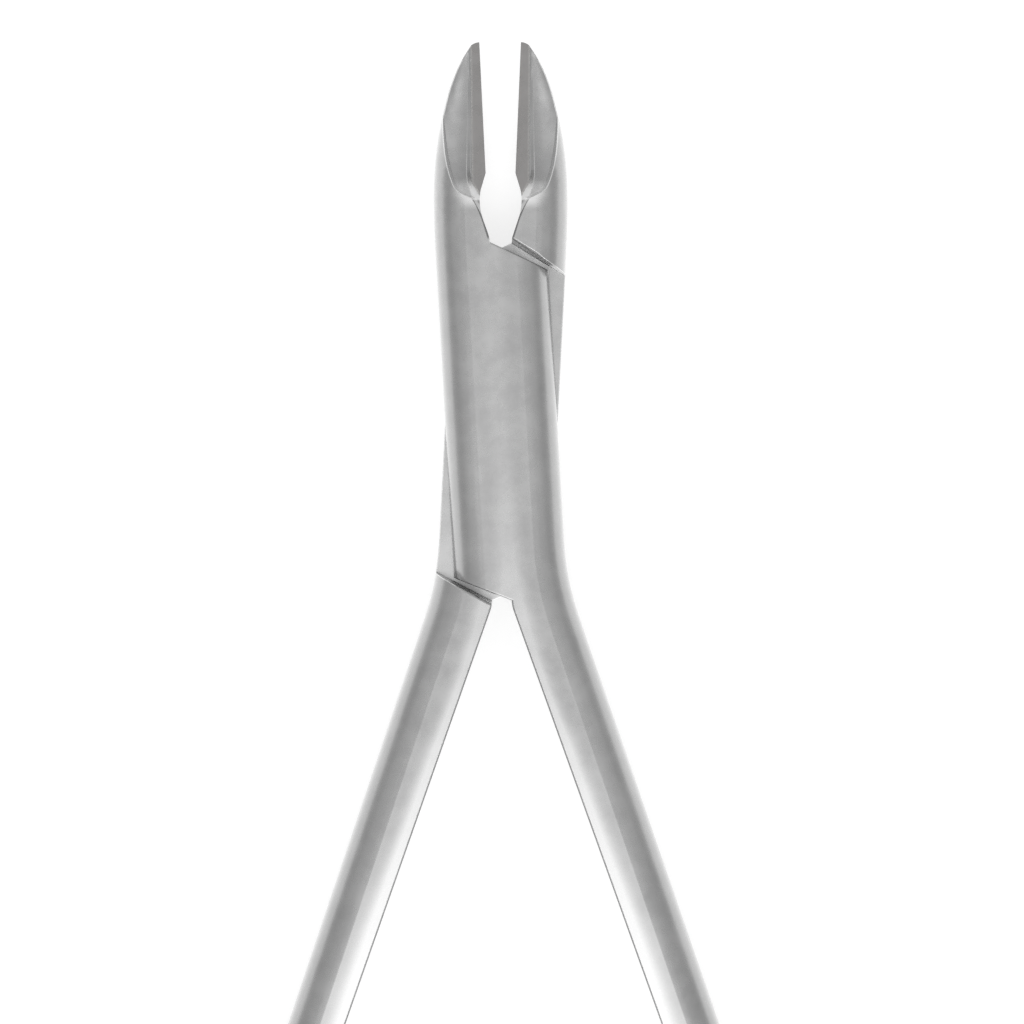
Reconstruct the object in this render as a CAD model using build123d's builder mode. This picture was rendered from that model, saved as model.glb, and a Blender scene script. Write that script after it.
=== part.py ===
"""Orthodontic cutting pliers with a lap joint, two forged halves, brazed cutting inserts and a shoulder screw.

The pliers lie flat. Z is up through their thickness, +Y runs from the pivot to the tips and +X to the right.
The origin is on the pivot axis at the flat back. A half is drawn closed, about the lap face at Z = 0, with its
jaw at the left, its lap plate above Z = 0 and its handle at the right. The rear half is the same forging
turned over about the Y axis. Both are then opened about the pivot and lifted so that the back lies at Z = 0.
"""

import os
from math import cos, radians, sin, sqrt, tan

from build123d import *

os.makedirs("parts", exist_ok=True)

# Whole tool, millimetres and degrees
thickness = 6.0
joint_half_width = 5.05
rest_half_opening = 3.1
edge_round = 2.8
lap_clearance = 0.04
seam_clearance = 0.08

# Outer side of a jaw in the closed pose: distance from the centre line, and height above the pivot
jaw_side_start_y = 15.0
jaw_side = [(4.93, 20.46), (4.42, 24.94), (3.55, 28.5), (2.19, 32.03), (1.0, 33.85)]
jaw_side_end_angle = 37.0

# Tip, cutting edge and relief opening, measured as above
tip_y = 34.42
nose_middle = (0.62, 34.25)
nose_end = (1.12, 33.74)
heel_y = 22.63
edge_gap_tip = 0.01
edge_gap_heel = 0.12
relief_side = [(0.36, 17.6), (0.7, 18.8), (0.8, 20.1), (0.66, 21.1)]
relief_foot = (0.09, 16.5)

# Shoulders of the lap joint: where each meets the centre line, and how far it falls away outwards
upper_shoulder_y = 16.37
upper_shoulder_angle = 28.7
lower_shoulder_y = -15.97
lower_shoulder_angle = 24.6
shoulder_draft = 0.24
shoulder_break = 0.16
edge_break = 0.13

# Cutting insert: bevelled face, root line and foot, and the braze seam around its root
insert_face_angle = 28.5
edge_land = 0.04
insert_root_tip = (0.76, 33.58)
insert_root_heel = (1.3, 21.75)
insert_foot = (0.62, 20.5)
seam_thickness = 0.09

# Hollow-ground floor of the jaw at stations along it: height above the pivot, foot of its bank across,
# upper edge of the bank across and above the lap face, lowest place across, and radius
floor_stations = [
    (18.0, 0.1, 0.75, 2.2, 2.2, 3.8),
    (19.3, 0.3, 1.08, 1.95, 2.45, 4.0),
    (20.3, 0.62, 1.38, 1.7, 2.7, 4.2),
    (21.0, 0.98, 1.6, 1.5, 2.9, 4.2),
    (22.0, 1.38, 1.8, 1.25, 3.1, 4.2),
    (23.1, 1.5, 1.8, 1.05, 3.15, 4.2),
    (24.9, 1.4, 1.66, 0.9, 3.0, 4.0),
    (26.7, 1.3, 1.54, 0.8, 2.7, 3.5),
    (28.5, 1.2, 1.42, 0.74, 2.35, 2.8),
    (31.0, 1.07, 1.27, 0.66, 1.75, 1.7),
    (33.6, 0.93, 1.12, 0.57, 1.3, 1.1),
    (36.2, 0.79, 0.97, 0.49, 1.05, 0.9),
]
floor_sweep = 60.0

# Ridge around the ground face, seen from the front: distance from the centre line, and height above the pivot
ridge_end = (0.66, 18.7)
ridge_corner = (1.38, 20.28)
ridge = [(1.88, 20.53), (2.45, 20.81), (2.92, 21.25), (3.25, 21.97), (3.52, 22.95), (3.85, 25.4), (4.0, 28.2)]
ridge_wall_draft = 9.0

# Handle in the closed pose
handle_bend_radius = 25.0
handle_outer_angle = 15.7
handle_outer_point = (9.95, -31.7)
handle_inner_angle = 16.4
crotch_radius = 3.0
crotch_gap = 0.02
bow_start_y = -60.0
bow_radius = 80.0
bow_end_angle = 3.0
tail_length = 10.5
grip_end_round = 3.6
grip_end_turn = 80.0
handle_end_width = 4.9

# Shoulder screw: head at the back, thread in the front plate
head_radius = 2.1
head_height = 1.15
head_recess = 0.05
head_chamfer = 0.15
shank_radius = 1.4
thread_radius = 1.1
thread_length = 1.9
slot_width = 0.6
slot_depth = 0.55
seat_clearance = 0.05
shank_clearance = 0.03
thread_clearance = 0.02
hole_end_clearance = 0.3

half = thickness / 2
lap = lap_clearance / 2
room = 3 * joint_half_width
past = half + joint_half_width


def edge_gap(y):
    """Distance of the cutting edge from the centre line when the tips just meet."""
    share = (tip_y - y) / (tip_y - heel_y)
    return edge_gap_tip + (edge_gap_heel - edge_gap_tip) * share


def insert_face(across, y):
    """Height of the insert's bevelled face above the lap face."""
    return edge_land / 2 + (across - edge_gap(y)) * tan(radians(insert_face_angle))


def upper_line(across, back=0.0):
    """Height of the upper shoulder line, set back from it towards the pivot."""
    slope = radians(upper_shoulder_angle)
    return upper_shoulder_y - back / cos(slope) - across * tan(slope)


def lower_line(across, back=0.0):
    """Height of the lower shoulder line, set back from it towards the pivot."""
    slope = radians(lower_shoulder_angle)
    return lower_shoulder_y + back / cos(slope) + across * tan(slope)


def insert_root(y, back=0.0):
    """Distance of the insert's root from the centre line, moved back into the jaw."""
    (tip_across, top), (heel_across, bottom) = insert_root_tip, insert_root_heel
    return back + tip_across + (heel_across - tip_across) * (top - y) / (top - bottom)


def edges_over(builder, path, height):
    """Edges of a part at this height that lie over a path in the lap face."""
    level = builder.edges().filter_by_position(Axis.Z, height - 0.01, height + 0.01)
    lift = Vector(0, 0, height)
    return level.filter_by(lambda edge: path.distance_to(edge.position_at(0.5) - lift) < 0.01)


def edges_along(builder, line):
    """Edges of a part above the lap face whose plan follows a straight line, given as y for each x."""

    def follows(edge):
        spots = [edge @ 0, edge @ 0.5, edge @ 1]
        return all(abs(spot.Y - line(spot.X)) < 0.01 and spot.Z > 2 * lap for spot in spots)

    return builder.edges().filter_by(follows)


def ridge_at(height):
    """Points of the ridge's wall in plan at a height above the lap face, drafted inwards below the front."""
    inset = (half - height) * tan(radians(ridge_wall_draft))
    path = [Vector(-across, y) for across, y in (ridge_end, ridge_corner, *ridge)]
    path = [path[0] * 2 - path[1], *path, path[-1] * 2 - path[-2]]
    moved = []
    for before, here, after in zip(path, path[1:], path[2:]):
        along = (after - before).normalized()
        moved.append(here + Vector(along.Y, -along.X) * inset)
    return moved


def recess_plane(foot_y, slope_angle, side):
    """Plane across a shoulder: its X points away from the pivot and its Y up."""
    slope = radians(slope_angle)
    away = Vector(side * sin(slope), side * -cos(slope), 0)
    return Plane(origin=(0, foot_y, 0), x_dir=away, z_dir=away.cross(Vector(0, 0, 1)))


def recess_profile():
    """Room for the other half's lap plate below the lap face, ending at a drafted shoulder."""
    Polyline(
        (-room, lap),
        (0, lap),
        (shoulder_draft, shoulder_break - half),
        (shoulder_draft + shoulder_break, -half),
        (shoulder_draft + shoulder_break, -half - room),
        (-room, -half - room),
        close=True,
    )


# Outer side of the left jaw, which runs on past the tip and is cut to shape later
with BuildLine() as jaw_rim:
    lean = radians(jaw_side_end_angle)
    jaw_curve = Spline(
        [(-joint_half_width, jaw_side_start_y)] + [(-across, y) for across, y in jaw_side],
        tangents=[(0, 1), (sin(lean), cos(lean))],
    )
    Line(jaw_curve @ 1, (jaw_curve @ 1) + Vector(sin(lean), cos(lean)) * past)

# Outer side of the right handle, from the joint down to the end of the grip and across it
with BuildLine() as handle_rim:
    outward = radians(handle_outer_angle)
    corner_drop = (handle_outer_point[0] - joint_half_width) / tan(outward)
    bend_start_y = handle_outer_point[1] + corner_drop + handle_bend_radius * tan(outward / 2)
    bend = JernArc((joint_half_width, bend_start_y), (0, -1), handle_bend_radius, handle_outer_angle)
    bow_start_x = handle_outer_point[0] + (handle_outer_point[1] - bow_start_y) * tan(outward)
    run = Line(bend @ 1, (bow_start_x, bow_start_y))
    bow = JernArc(run @ 1, run % 1, bow_radius, -(handle_outer_angle + bow_end_angle))
    tail = Line(bow @ 1, (bow @ 1) + (bow % 1) * tail_length)
    nose = JernArc(tail @ 1, tail % 1, grip_end_round, -grip_end_turn)
    end_width_left = handle_end_width - grip_end_round * (1 - cos(radians(grip_end_turn)))
    grip_end = Line(nose @ 1, (nose @ 1) + (nose % 1) * end_width_left)

# Inner side of the handle, from the crotch under the joint down to the end of the grip
with BuildLine() as handle_inner:
    crotch = JernArc((crotch_gap, lower_line(0)), (0, -1), crotch_radius, handle_inner_angle)
    inner_length = ((crotch @ 1).Y - bow_start_y) / cos(radians(handle_inner_angle))
    inner_run = Line(crotch @ 1, (crotch @ 1) + (crotch % 1) * inner_length)
    Spline(inner_run @ 1, grip_end @ 1, tangents=[inner_run % 1, tail % 1])

# Plan of the jaw, left open to the right of its cutting edge
with BuildSketch() as jaw_plan:
    with BuildLine():
        add(jaw_rim.line)
        jaw_far = jaw_rim.line @ 1
        Polyline(
            jaw_curve @ 0,
            (-joint_half_width, upper_line(past)),
            (joint_half_width, upper_line(past)),
            (joint_half_width, heel_y),
            (2 * joint_half_width, heel_y),
            (2 * joint_half_width, jaw_far.Y),
            jaw_far,
        )
    make_face()

# Plan of the lap plate between its two ends
with BuildSketch() as plate_plan:
    with BuildLine():
        Polyline(
            (-joint_half_width, upper_line(past)),
            (-joint_half_width, lower_line(joint_half_width, seam_clearance)),
            (crotch_gap, lower_line(0, seam_clearance)),
            (joint_half_width, bend_start_y),
            (joint_half_width, upper_line(joint_half_width)),
            (-joint_half_width, upper_line(past)),
        )
    make_face()

# Plan of the handle, up into the lap plate
with BuildSketch() as handle_plan:
    with BuildLine():
        add(handle_rim.line)
        add(handle_inner.line)
        Polyline(crotch @ 0, (crotch_gap, bend_start_y), bend @ 0)
    make_face()

# Straight sides of the lap plate
with BuildLine() as plate_sides:
    for side in (-joint_half_width, joint_half_width):
        Line((side, heel_y), (side, lower_line(joint_half_width)))

# Front skin of the forging: jaw, lap plate and handle above the lap face
with BuildPart() as front_skin:
    with BuildSketch(Plane.XY.offset(lap)):
        add(jaw_plan.sketch)
        add(plate_plan.sketch)
        add(handle_plan.sketch)
    extrude(amount=half - lap)
    fillet(
        edges_over(front_skin, jaw_rim.line, half)
        + edges_over(front_skin, plate_sides.line, half)
        + edges_over(front_skin, handle_rim.line, half),
        edge_round,
    )

# Back of the jaw, down to its shoulder
with BuildPart() as jaw_back:
    with BuildSketch(Plane.XY.offset(lap)):
        add(jaw_plan.sketch)
    extrude(amount=-half - lap)
    fillet(edges_over(jaw_back, jaw_rim.line, -half), edge_round)
    with BuildSketch(recess_plane(upper_shoulder_y, upper_shoulder_angle, -1)):
        with BuildLine():
            recess_profile()
        make_face()
    extrude(amount=room, both=True, mode=Mode.SUBTRACT)

# Back of the handle, up to its shoulder
with BuildPart() as handle_back:
    with BuildSketch(Plane.XY.offset(lap)):
        add(handle_plan.sketch)
    extrude(amount=-half - lap)
    fillet(edges_over(handle_back, handle_rim.line, -half), edge_round)
    with BuildSketch(recess_plane(lower_shoulder_y, lower_shoulder_angle, 1)):
        with BuildLine():
            recess_profile()
        make_face()
    extrude(amount=room, both=True, mode=Mode.SUBTRACT)

# Everything to the right of the cutting edge, the relief opening and the plate's top end
with BuildPart() as jaw_gap:
    with BuildSketch(Plane.XY.offset(-thickness)):
        with BuildLine():
            foot = Vector(-relief_foot[0], relief_foot[1])
            relief_curve = Spline(foot, *[(-across, y) for across, y in relief_side])
            Line(relief_curve @ 1, (-edge_gap(heel_y), heel_y))
            Line((-edge_gap(heel_y), heel_y), (-edge_gap(tip_y), tip_y))
            ThreePointArc(
                (-edge_gap(tip_y), tip_y),
                (-nose_middle[0], nose_middle[1]),
                (-nose_end[0], nose_end[1]),
            )
            plate_end_y = upper_line(-relief_foot[0], seam_clearance)
            Polyline(
                (-nose_end[0], nose_end[1]),
                (-nose_end[0] - past, nose_end[1] + past),
                (3 * past, nose_end[1] + past),
                (3 * past, upper_line(3 * past, seam_clearance)),
                (-relief_foot[0], plate_end_y),
                foot,
            )
        make_face()
    extrude(amount=2 * thickness)

# Space above the jaw's ground face: the insert's bevel, a steep bank and the hollow floor beyond it
with BuildPart() as ground_space:
    for y, foot_across, edge_across, edge_height, low_across, radius in floor_stations:
        with BuildSketch(Plane.XZ.offset(-y)):
            with BuildLine():
                bank_foot = Vector(-foot_across, insert_face(foot_across, y))
                bank_edge = Vector(-edge_across, edge_height)
                edge_side = Vector(past / 4, insert_face(-past / 4, y))
                rise = sqrt(radius**2 - (low_across - edge_across) ** 2)
                centre = Vector(-low_across, edge_height + rise)
                sweep_end = radians(floor_sweep)
                far_side = centre - Vector(sin(sweep_end), cos(sweep_end)) * radius
                Line(edge_side, bank_foot)
                Line(bank_foot, bank_edge)
                ThreePointArc(bank_edge, centre - Vector(0, radius), far_side)
                Polyline(far_side, (-2 * past, far_side.Y), (-2 * past, 2 * past), (past / 4, 2 * past), edge_side)
            make_face()
    loft()

# The ground face ends at a ridge, which stands over it with a drafted wall
with BuildPart() as scoop:
    for height in (0, thickness):
        with BuildSketch(Plane.XY.offset(height)):
            with BuildLine():
                end, corner, *wall = ridge_at(height)
                Line(end, corner)
                wall_line = Spline(corner, *wall)
                far = (wall_line @ 1).Y + past
                Polyline(wall_line @ 1, (-past, far), (past / 4, far), (past / 4, end.Y), end)
            make_face()
    loft(ruled=True)
    add(ground_space.part, mode=Mode.INTERSECT)
    mirror(about=Plane.XY)

# Whole forging with the insert still part of it
with BuildPart() as blank:
    add(front_skin.part)
    add(jaw_back.part)
    add(handle_back.part)
    add(jaw_gap.part, mode=Mode.SUBTRACT)
    add(scoop.part, mode=Mode.SUBTRACT)
    fillet(
        edges_along(blank, lambda x: upper_line(x, seam_clearance))
        + edges_along(blank, lambda x: lower_line(-x, seam_clearance)),
        edge_break,
    )
    chamfer(
        edges_over(blank, handle_inner.line, half) + edges_over(blank, handle_inner.line, -half),
        edge_break,
    )

# Plan of the insert, run out past the tip and the cutting edge
with BuildSketch(Plane.XY.offset(-thickness)) as insert_plan:
    with BuildLine():
        Polyline(
            (past, insert_foot[1]),
            (-insert_foot[0], insert_foot[1]),
            (-insert_root_heel[0], insert_root_heel[1]),
            (-insert_root(tip_y + past), tip_y + past),
            (past, tip_y + past),
            close=True,
        )
    make_face()

with BuildPart() as insert_space:
    add(insert_plan.sketch)
    extrude(amount=2 * thickness)

# Seat cut in the jaw for the insert and its braze
with BuildPart() as seat_space:
    with BuildSketch(Plane.XY.offset(-thickness)):
        add(insert_plan.sketch)
        offset(amount=seam_thickness, kind=Kind.INTERSECTION)
    extrude(amount=2 * thickness)

with BuildPart() as forging:
    add(blank.part)
    add(seat_space.part, mode=Mode.SUBTRACT)

with BuildPart() as insert:
    add(blank.part)
    add(insert_space.part, mode=Mode.INTERSECT)

with BuildPart() as seam:
    add(blank.part)
    add(seat_space.part, mode=Mode.INTERSECT)
    add(insert_space.part, mode=Mode.SUBTRACT)

# The finished halves stand open at rest, with the back of the tool at Z = 0
front_turn = (0, 0, rest_half_opening)
rear_turn = (0, 180, rest_half_opening)
shank_end = half + lap

with BuildPart() as front_half:
    with Locations((0, 0, half)):
        add(forging.part, rotation=front_turn)
    with BuildSketch(Plane.XY.offset(shank_end)):
        Circle(thread_radius + thread_clearance)
    extrude(amount=thread_length + hole_end_clearance, mode=Mode.SUBTRACT)
front_half.part.label = "front_half"
export_step(front_half.part, "parts/front_half.step")

with BuildPart() as rear_half:
    with Locations((0, 0, half)):
        add(forging.part, rotation=rear_turn)
    with BuildSketch(Plane.XY):
        Circle(head_radius + seat_clearance)
    extrude(amount=head_recess + head_height + lap, mode=Mode.SUBTRACT)
    with BuildSketch(Plane.XY):
        Circle(shank_radius + shank_clearance)
    extrude(amount=half, mode=Mode.SUBTRACT)
rear_half.part.label = "rear_half"
export_step(rear_half.part, "parts/rear_half.step")

with BuildPart() as front_cutting_insert:
    with Locations((0, 0, half)):
        add(insert.part, rotation=front_turn)
front_cutting_insert.part.label = "front_cutting_insert"
export_step(front_cutting_insert.part, "parts/front_cutting_insert.step")

with BuildPart() as rear_cutting_insert:
    with Locations((0, 0, half)):
        add(insert.part, rotation=rear_turn)
rear_cutting_insert.part.label = "rear_cutting_insert"
export_step(rear_cutting_insert.part, "parts/rear_cutting_insert.step")

with BuildPart() as front_braze_seam:
    with Locations((0, 0, half)):
        add(seam.part, rotation=front_turn)
front_braze_seam.part.label = "front_braze_seam"
export_step(front_braze_seam.part, "parts/front_braze_seam.step")

with BuildPart() as rear_braze_seam:
    with Locations((0, 0, half)):
        add(seam.part, rotation=rear_turn)
rear_braze_seam.part.label = "rear_braze_seam"
export_step(rear_braze_seam.part, "parts/rear_braze_seam.step")

# Shoulder screw: slotted head sunk in the back, shank through the rear plate, thread in the front plate
with BuildPart() as pivot_screw:
    with BuildSketch(Plane.XZ):
        head_top = head_recess + head_height
        thread_end = shank_end + thread_length
        with BuildLine():
            Polyline(
                (0, head_recess),
                (head_radius - head_chamfer, head_recess),
                (head_radius, head_recess + head_chamfer),
                (head_radius, head_top),
                (shank_radius, head_top),
                (shank_radius, shank_end),
                (thread_radius, shank_end),
                (thread_radius, thread_end - head_chamfer),
                (thread_radius - head_chamfer, thread_end),
                (0, thread_end),
                close=True,
            )
        make_face()
    revolve(axis=Axis.Z)
    with BuildSketch(Plane.XY.offset(head_recess)):
        Rectangle(2 * head_radius + seat_clearance, slot_width)
    extrude(amount=slot_depth, mode=Mode.SUBTRACT)
pivot_screw.part.label = "pivot_screw"
export_step(pivot_screw.part, "parts/pivot_screw.step")
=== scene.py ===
"""Studio picture of the orthodontic pliers, lying flat and seen from straight above.

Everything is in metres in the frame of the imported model: Z up through the thickness, and +Y from the pivot to
the tips. The model's own parts show, and this script adds their finish, the studio, the floor and the camera.
"""

from math import radians

import bpy
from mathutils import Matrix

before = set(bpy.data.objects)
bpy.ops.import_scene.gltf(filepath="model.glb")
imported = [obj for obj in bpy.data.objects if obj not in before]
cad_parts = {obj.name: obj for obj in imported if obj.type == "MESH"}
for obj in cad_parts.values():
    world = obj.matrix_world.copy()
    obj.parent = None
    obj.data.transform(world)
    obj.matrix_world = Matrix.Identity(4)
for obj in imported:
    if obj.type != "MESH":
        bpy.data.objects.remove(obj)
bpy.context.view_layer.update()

MM = 0.001

# Camera: straight above, a little to the right of the pivot and towards the handles
FRAME_WIDTH = 92.16 * MM
CAMERA_HEIGHT = 700 * MM
VIEW_CENTRE = (0.93 * MM, -7.92 * MM)
CAMERA_ROLL = radians(-0.19)
MIDDLE_HEIGHT = 3 * MM
SENSOR_WIDTH = 36.0
NEAREST, FURTHEST = 0.01, 10.0

# Studio brightness by the upward part of the direction, from the horizon to straight above
STUDIO = [(0.0, 1.0), (0.045, 1.0), (0.1, 0.7), (0.3, 0.62), (0.5, 0.6), (0.7, 0.73), (0.85, 0.79),
          (0.95, 0.8), (1.0, 0.82)]
# Bright panel overhead, towards the handles: its level, and the parts of the direction where it comes and goes
PANEL_LEVEL = 2.2
PANEL_START = (0.0, 0.2)
PANEL_END = (0.45, 0.8)
PANEL_HALF_WIDTH = 0.58
PANEL_LOWEST = 0.3

# Floor: paint, and the glow that keeps it pale in the picture and in the metal
FLOOR_PAINT = 0.4
FLOOR_GLOW = 0.75
FLOOR_REACH = 3.0
FLOOR_GAP = 0.03 * MM

# Turn of each half from its closed pose, and the outer side of a half in that pose: along Y, and across
REST_OPENING = radians(3.1)
OUTER_SIDE = [(-96.3, 20.2), (-85.8, 20.8), (-73.0, 20.3), (-60.0, 17.9), (-31.7, 9.95), (-17.6, 5.98),
              (-10.8, 5.05), (15.0, 5.05), (20.5, 4.93), (24.9, 4.42), (28.5, 3.55), (32.0, 2.19), (34.4, 0.9)]
SIDE_SPAN = (-100.0, 40.0)
SIDE_SCALE = 25.0

# Polished faces fall away a little towards the rounded outer side
CROWN_START = 1.7 * MM
CROWN_END = 4.7 * MM
CROWN_RISE = 0.27 * MM
EDGE_ROUND = 0.1 * MM
EDGE_SAMPLES = 6
# They also lean a little towards the handle ends, more the further down they lie, but less at the grips
LEAN_START = 15 * MM
LEAN_RATE = 8.6
GRIP_START = -51 * MM
GRIP_RATE = 38.0

# Inner boundary of the front face beside the relief and the ground face, in the closed pose, the same way
FACE_EDGE = [(16.5, 0.09), (17.6, 0.36), (18.7, 0.66), (20.28, 1.38), (20.53, 1.88), (20.81, 2.45),
             (21.25, 2.92), (21.97, 3.25), (22.95, 3.52), (25.4, 3.85), (28.2, 4.0), (35.0, 4.1)]
FACE_SPAN = (16.5, 35.0)
FACE_SCALE = 5.0
# Painted shade: a dark line where that face meets the relief
LINE_WIDTH = (0.2 * MM, 0.12 * MM)
LINE_START = (16.5 * MM, 16.8 * MM)
LINE_END = (20.3 * MM, 20.1 * MM)
LINE_SHADE = 0.4
# Painted highlight: brighter colour below the lower end of the ground face
GLOW_REACH = 2.6 * MM
GLOW_SIDE = (3.5 * MM, 2.2 * MM)
GLOW_LEVEL = 0.75
GLOW_START = (19.2 * MM, 20.2 * MM)
GLOW_END = (22.4 * MM, 21.2 * MM)

# Painted highlight: bright lines on the edges that stand out, but not beside the insert
EDGE_HIGHLIGHT_WIDTH = 0.12 * MM
EDGE_HIGHLIGHT_OPENNESS = (0.95, 0.6)
EDGE_HIGHLIGHT_SAMPLES = 8
HIGHLIGHT_LEVEL = 0.85
INSERT_SIDE = (1.5 * MM, 1.7 * MM)
INSERT_HEEL = (20.6 * MM, 20.4 * MM)
# Painted shade: darker colour in the corners, more on a wall than on a flat
CORNER_DEPTH = 1.2 * MM
CORNER_OPENNESS = (0.12, 0.6)
CORNER_SAMPLES = 16
CORNER_ON_WALL = 0.3
CORNER_ON_FLAT = 0.85
WALL_TO_FLAT = (0.3, 0.9)

# How the metal's brightness rises from facing view to grazing view
FACING_BLEND = 0.5
GRAZING_RISE = 2.4
# Cloudy polish and fine grain: cycles per metre, detail and its roughness
CLOUDS = {"Scale": 420.0, "Detail": 5.0, "Roughness": 0.62}
GRAIN = {"Scale": 5200.0, "Detail": 2.0, "Roughness": 0.5}
CLOUD_SPAN = (0.3, 0.7)
CLOUD_SHADE = 0.07
POLISH_SPAN = (0.4, 0.85)
POLISH_CHANGE = 0.12
GRAIN_SHARE = 0.25

# Colour facing the light, and roughness, of each metal
STEEL = ((0.42, 0.42, 0.42), 0.27)
SCREW = ((0.42, 0.42, 0.42), 0.25)
INSERT = ((0.42, 0.41, 0.405), 0.28)
SEAM = ((0.47, 0.465, 0.455), 0.3)


def camera():
    """The photograph's camera."""
    data = bpy.data.cameras.new("camera")
    data.sensor_width = SENSOR_WIDTH
    data.lens = SENSOR_WIDTH * CAMERA_HEIGHT / FRAME_WIDTH
    data.clip_start = NEAREST
    data.clip_end = FURTHEST
    lens = bpy.data.objects.new("camera", data)
    lens.location = (*VIEW_CENTRE, MIDDLE_HEIGHT + CAMERA_HEIGHT)
    lens.rotation_euler = (0, 0, CAMERA_ROLL)
    bpy.context.scene.collection.objects.link(lens)
    bpy.context.scene.camera = lens


def feed(tree, socket, value):
    """Gives an input a source, or a plain value."""
    if isinstance(value, bpy.types.NodeSocket):
        tree.links.new(value, socket)
    else:
        socket.default_value = value


def add_node(tree, kind, **settings):
    """A shader node with its properties and the values or sources of its inputs, _ standing for a space."""
    node = tree.nodes.new(kind)
    for name, value in settings.items():
        name = name.replace("_", " ") if name[0].isupper() else name
        if name in node.inputs:
            feed(tree, node.inputs[name], value)
        else:
            setattr(node, name, value)
    return node


def reckon(tree, operation, *values):
    """A sum, product or the like of sources and plain numbers."""
    node = add_node(tree, "ShaderNodeMath", operation=operation)
    for socket, value in zip(node.inputs, values):
        feed(tree, socket, value)
    return node.outputs["Value"]


def product(tree, first, *others):
    """The product of sources and plain numbers."""
    for other in others:
        first = reckon(tree, "MULTIPLY", first, other)
    return first


def fade(tree, source, start, end, low=0.0, high=1.0, kind="SMOOTHSTEP"):
    """A soft step from low to high while a value goes from start to end."""
    node = add_node(tree, "ShaderNodeMapRange", interpolation_type=kind, Value=source,
                    From_Min=start, From_Max=end, To_Min=low, To_Max=high)
    return node.outputs["Result"]


def ramp(tree, source, stops):
    """Greys along a value from 0 to 1."""
    node = add_node(tree, "ShaderNodeValToRGB", Fac=source)
    elements = node.color_ramp.elements
    for place, grey in stops[1:-1]:
        elements.new(place)
    for element, (place, grey) in zip(elements, stops):
        element.position = place
        element.color = (grey, grey, grey, 1)
    return node.outputs["Color"]


def scaled(tree, colour, share):
    """A colour times a number."""
    node = add_node(tree, "ShaderNodeVectorMath", operation="SCALE", Scale=share)
    feed(tree, node.inputs[0], colour)
    return node.outputs["Vector"]


def blend(tree, share, first, second):
    """A colour between two."""
    node = add_node(tree, "ShaderNodeMix", data_type="VECTOR", Factor=share)
    ends = [socket for socket in node.inputs if socket.type == "VECTOR" and socket.name in ("A", "B")]
    feed(tree, ends[0], first)
    feed(tree, ends[1], second)
    return next(socket for socket in node.outputs if socket.type == "VECTOR")


def studio():
    """A soft studio all round: pale horizon, grey walls, and a bright panel overhead towards the handles."""
    world = bpy.data.worlds.new("studio")
    bpy.context.scene.world = world
    world.use_nodes = True
    tree = world.node_tree
    tree.nodes.clear()
    place = add_node(tree, "ShaderNodeTexCoord").outputs["Generated"]
    split = add_node(tree, "ShaderNodeSeparateXYZ", Vector=place)
    walls = ramp(tree, split.outputs["Z"], STUDIO)
    towards_handles = product(tree, split.outputs["Y"], -1.0)
    sideways = reckon(tree, "ABSOLUTE", split.outputs["X"])
    start = fade(tree, towards_handles, *PANEL_START)
    end = fade(tree, towards_handles, *PANEL_END, 1.0, 0.0)
    width = fade(tree, sideways, 0.0, PANEL_HALF_WIDTH, 1.0, 0.0)
    overhead = fade(tree, split.outputs["Z"], 0.0, PANEL_LOWEST)
    panel = product(tree, start, end, width, overhead, PANEL_LEVEL)
    level = reckon(tree, "ADD", walls, panel)
    light = add_node(tree, "ShaderNodeBackground", Color=(1, 1, 1, 1), Strength=level)
    add_node(tree, "ShaderNodeOutputWorld", Surface=light.outputs["Background"])


def floor_finish():
    """Pale paint with a glow for the camera and for mirror views, and clear from below."""
    material = bpy.data.materials.new("pale_floor")
    material.use_nodes = True
    tree = material.node_tree
    tree.nodes.clear()
    rays = add_node(tree, "ShaderNodeLightPath")
    seen = reckon(tree, "MAXIMUM", rays.outputs["Is Camera Ray"], rays.outputs["Is Glossy Ray"])
    seen = reckon(tree, "MAXIMUM", seen, rays.outputs["Is Transmission Ray"])
    paint = add_node(tree, "ShaderNodeBsdfDiffuse", Color=(FLOOR_PAINT, FLOOR_PAINT, FLOOR_PAINT, 1))
    glow = add_node(tree, "ShaderNodeEmission", Color=(1, 1, 1, 1), Strength=product(tree, seen, FLOOR_GLOW))
    both = add_node(tree, "ShaderNodeAddShader")
    tree.links.new(paint.outputs["BSDF"], both.inputs[0])
    tree.links.new(glow.outputs["Emission"], both.inputs[1])
    clear = add_node(tree, "ShaderNodeBsdfTransparent")
    from_below = add_node(tree, "ShaderNodeNewGeometry").outputs["Backfacing"]
    one_sided = add_node(tree, "ShaderNodeMixShader", Fac=from_below)
    tree.links.new(both.outputs["Shader"], one_sided.inputs[1])
    tree.links.new(clear.outputs["BSDF"], one_sided.inputs[2])
    add_node(tree, "ShaderNodeOutputMaterial", Surface=one_sided.outputs["Shader"])
    return material


def floor():
    """A plain pale floor that keeps the object's shadow and lets the back be seen from below."""
    mesh = bpy.data.meshes.new("floor")
    corners = [(x * FLOOR_REACH, y * FLOOR_REACH, -FLOOR_GAP) for x, y in ((-1, -1), (1, -1), (1, 1), (-1, 1))]
    mesh.from_pydata(corners, [], [(0, 1, 2, 3)])
    mesh.materials.append(floor_finish())
    ground = bpy.data.objects.new("floor", mesh)
    bpy.context.scene.collection.objects.link(ground)


def closed_pose(tree, place, side):
    """Distance from the centre line and place along Y of a half's surface, in the pliers' closed pose."""
    turn = (0, 0, -REST_OPENING)
    closed = add_node(tree, "ShaderNodeMapping", Vector=place, Scale=(side, 1, 1), Rotation=turn)
    split = add_node(tree, "ShaderNodeSeparateXYZ", Vector=closed.outputs["Vector"])
    return reckon(tree, "ABSOLUTE", split.outputs["X"]), split.outputs["Y"]


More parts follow.
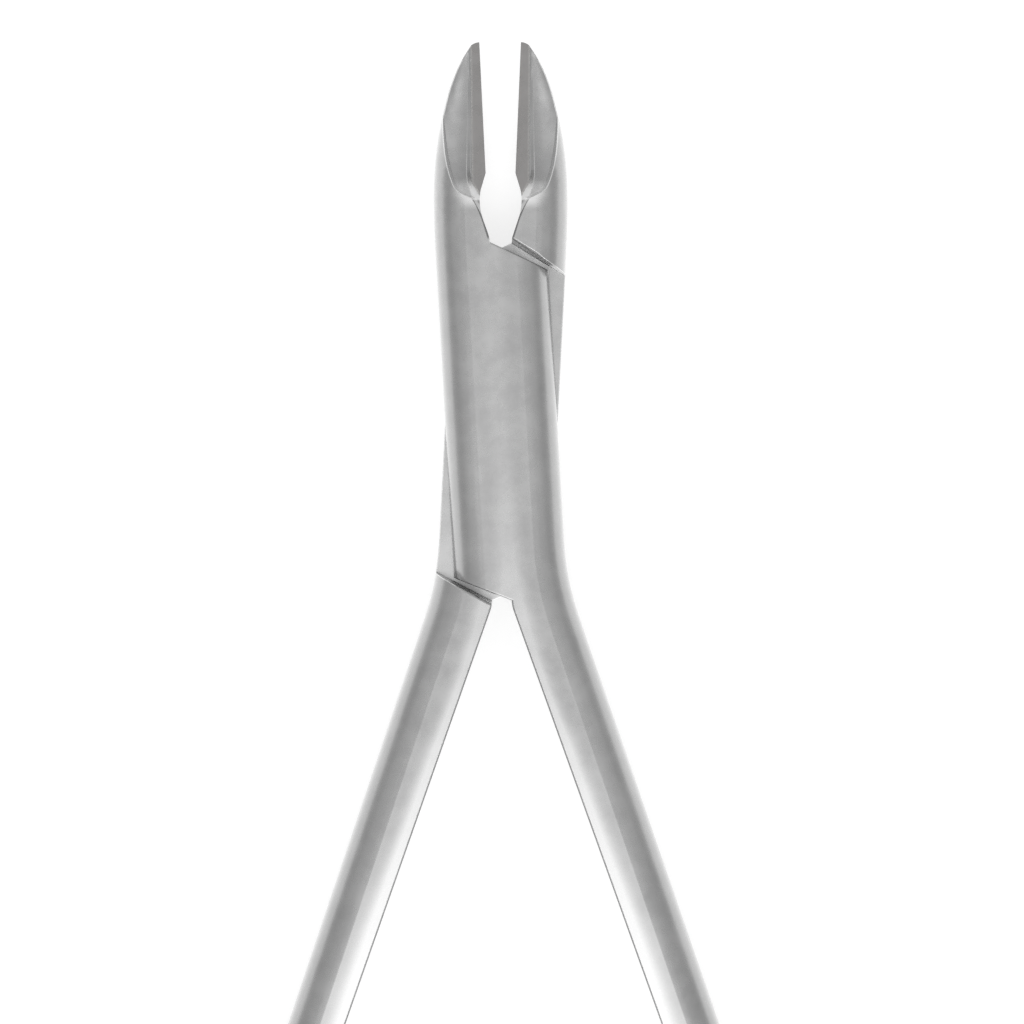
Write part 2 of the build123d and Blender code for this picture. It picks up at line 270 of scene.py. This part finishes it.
def outline(tree, along, spots, span, scale):
    """Distance from the centre line of an outline, at a place along Y."""
    low, high = span
    share = fade(tree, along, low * MM, high * MM, kind="LINEAR")
    curve = add_node(tree, "ShaderNodeFloatCurve", Value=share)
    points = curve.mapping.curves[0].points
    points[0].location = (0.0, spots[0][1] / scale)
    points[1].location = (1.0, spots[-1][1] / scale)
    for y, across in spots:
        points.new((y - low) / (high - low), across / scale)
    curve.mapping.update()
    return product(tree, curve.outputs["Value"], scale * MM)


def beside_face_edge(tree, across, along):
    """How far outside the inner boundary of the front face a place lies."""
    return reckon(tree, "SUBTRACT", across, outline(tree, along, FACE_EDGE, FACE_SPAN, FACE_SCALE))


def slope(tree, along, start, rate):
    """A fall that grows as the cube of the distance below a place along Y."""
    down = reckon(tree, "MAXIMUM", reckon(tree, "SUBTRACT", start, along), 0.0)
    return product(tree, reckon(tree, "POWER", down, 3.0), rate)


def crown(tree, across, along):
    """Height of a half's polished faces: lower towards the outer side and towards the handles' ends."""
    inwards = reckon(tree, "SUBTRACT", outline(tree, along, OUTER_SIDE, SIDE_SPAN, SIDE_SCALE), across)
    rise = fade(tree, inwards, CROWN_START, CROWN_END, 0.0, CROWN_RISE)
    lean = slope(tree, along, LEAN_START, LEAN_RATE)
    grip = slope(tree, along, GRIP_START, GRIP_RATE)
    return reckon(tree, "ADD", reckon(tree, "SUBTRACT", rise, lean), grip)


def painted_ridge_highlight(tree, across, along):
    """Painted highlight on the front face just below the lower end of the ground face."""
    near = fade(tree, beside_face_edge(tree, across, along), GLOW_REACH, 0.0)
    middle = fade(tree, across, *GLOW_SIDE)
    start = fade(tree, along, *GLOW_START)
    end = fade(tree, along, *GLOW_END)
    return product(tree, near, middle, start, end, GLOW_LEVEL)


def painted_relief_shade(tree, across, along):
    """The painted dark line of shade along the relief opening: 1 on it and 0 elsewhere."""
    near = fade(tree, beside_face_edge(tree, across, along), *LINE_WIDTH)
    start = fade(tree, along, *LINE_START)
    end = fade(tree, along, *LINE_END)
    return product(tree, near, start, end)


def openness(tree, depth, samples, inside=False):
    """How open the surroundings of a place are, or inside, how far the metal reaches behind it."""
    node = add_node(tree, "ShaderNodeAmbientOcclusion", samples=samples, inside=inside, Distance=depth)
    return node.outputs["AO"]


def corner_shade_share(tree):
    """Share of the colour that the painted shade in the corners leaves."""
    normal = add_node(tree, "ShaderNodeNewGeometry").outputs["Normal"]
    upward = add_node(tree, "ShaderNodeSeparateXYZ", Vector=normal).outputs["Z"]
    flat = reckon(tree, "ABSOLUTE", upward)
    strength = fade(tree, flat, *WALL_TO_FLAT, 1.0 - CORNER_ON_WALL, 1.0 - CORNER_ON_FLAT)
    corner = fade(tree, openness(tree, CORNER_DEPTH, CORNER_SAMPLES), *CORNER_OPENNESS, 1.0, 0.0)
    return reckon(tree, "SUBTRACT", 1.0, product(tree, corner, strength))


def painted_edge_highlights(tree, across, along):
    """The painted highlight lines on the edges of a half: 1 on them and 0 elsewhere."""
    highlight = fade(tree, openness(tree, EDGE_HIGHLIGHT_WIDTH, EDGE_HIGHLIGHT_SAMPLES, inside=True), *EDGE_HIGHLIGHT_OPENNESS)
    off_insert = reckon(tree, "MAXIMUM", fade(tree, across, *INSERT_SIDE), fade(tree, along, *INSERT_HEEL))
    return product(tree, highlight, off_insert)


def metal(name, colour, roughness, side=None):
    """Satin metal brighter towards grazing view, with cloudy polish and painted shade; on a half crowned, with
    painted highlights.
    """
    material = bpy.data.materials.new(name)
    material.use_nodes = True
    tree = material.node_tree
    shader = tree.nodes["Principled BSDF"]
    shader.inputs["Metallic"].default_value = 1.0
    place = add_node(tree, "ShaderNodeTexCoord").outputs["Object"]
    clouds = add_node(tree, "ShaderNodeTexNoise", Vector=place, **CLOUDS).outputs["Fac"]
    grain = add_node(tree, "ShaderNodeTexNoise", Vector=place, **GRAIN).outputs["Fac"]
    tone = fade(tree, clouds, *CLOUD_SPAN, 1.0 - CLOUD_SHADE, 1.0 + CLOUD_SHADE, kind="LINEAR")
    facing = add_node(tree, "ShaderNodeLayerWeight", Blend=FACING_BLEND).outputs["Facing"]
    grazing = reckon(tree, "POWER", facing, GRAZING_RISE)
    bright = blend(tree, grazing, scaled(tree, colour, tone), (1, 1, 1))
    # Painted shade: the colour is darkened in the corners, more on walls than on flats
    unshaded_share = corner_shade_share(tree)
    normal = add_node(tree, "ShaderNodeBevel", samples=EDGE_SAMPLES, Radius=EDGE_ROUND).outputs["Normal"]
    if side is not None:
        across, along = closed_pose(tree, place, side)
        shade_line = painted_relief_shade(tree, across, along)
        # Painted highlight: bright lines on the edges that stand out
        highlight = product(tree, painted_edge_highlights(tree, across, along), reckon(tree, "SUBTRACT", 1.0, shade_line))
        # Painted highlight: brighter colour just below the lower end of the ground face
        highlight = reckon(tree, "MAXIMUM", highlight, painted_ridge_highlight(tree, across, along))
        bright = blend(tree, highlight, bright, (HIGHLIGHT_LEVEL, HIGHLIGHT_LEVEL, HIGHLIGHT_LEVEL))
        # Painted shade: the colour is darkened along the dark line at the relief
        unshaded_share = product(tree, unshaded_share, fade(tree, shade_line, 0.0, 1.0, 1.0, LINE_SHADE, kind="LINEAR"))
        bump = add_node(tree, "ShaderNodeBump", Height=crown(tree, across, along), Normal=normal, Distance=1.0)
        normal = bump.outputs["Normal"]
    polish = reckon(tree, "MULTIPLY_ADD", grain, GRAIN_SHARE, clouds)
    smoothest, roughest = roughness * (1.0 - POLISH_CHANGE), roughness * (1.0 + POLISH_CHANGE)
    feed(tree, shader.inputs["Base Color"], scaled(tree, bright, unshaded_share))
    gloss = fade(tree, polish, *POLISH_SPAN, smoothest, roughest, kind="LINEAR")
    feed(tree, shader.inputs["Roughness"], gloss)
    feed(tree, shader.inputs["Normal"], normal)
    return material


def dress(node, material):
    """Gives a part of the model its finish."""
    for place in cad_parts[node].material_slots:
        place.material = material


camera()
studio()
floor()

dress("front_half", metal("front_steel", *STEEL, side=1))
dress("rear_half", metal("rear_steel", *STEEL, side=-1))
dress("pivot_screw", metal("screw_steel", *SCREW))
insert_metal = metal("insert_metal", *INSERT)
seam_metal = metal("seam_metal", *SEAM)
for half in ("front", "rear"):
    dress(f"{half}_cutting_insert", insert_metal)
    dress(f"{half}_braze_seam", seam_metal)

bpy.context.scene.view_settings.view_transform = "Standard"
